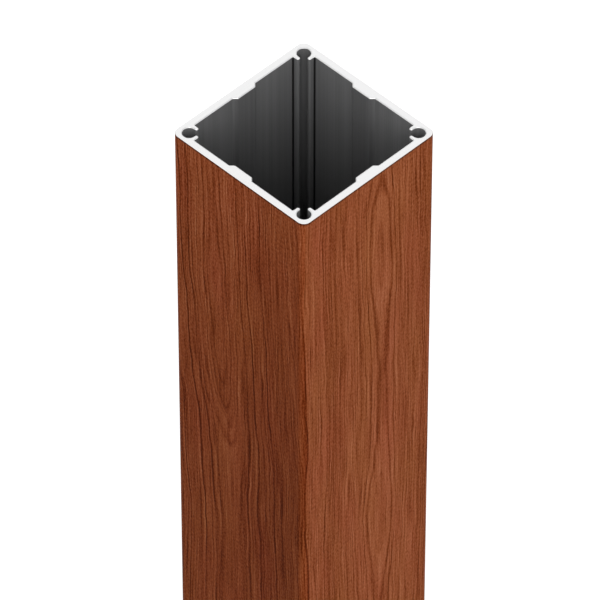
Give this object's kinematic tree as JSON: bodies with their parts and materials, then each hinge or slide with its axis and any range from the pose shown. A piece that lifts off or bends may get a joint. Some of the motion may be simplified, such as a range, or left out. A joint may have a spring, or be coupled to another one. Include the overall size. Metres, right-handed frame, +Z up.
{
  "type": "metal fence post",
  "caption": "Square hollow aluminium fence post, extruded with a screw port in each inner corner, a thickened pad inside each wall and a wood-grain coated outside.",
  "frame": {"origin": "centre of the post's square foot, on the ground", "axes": "+Z up along the post; the walls face X and Y, and the corner at +X -Y faces the picture's camera"},
  "size_m": [0.065, 0.065, 1.8],
  "materials": {
    "wood_grain_coat": "satin"
  },
  "bodies": {
    "root": {"post": "wood_grain_coat"}
  },
  "joints": []
}
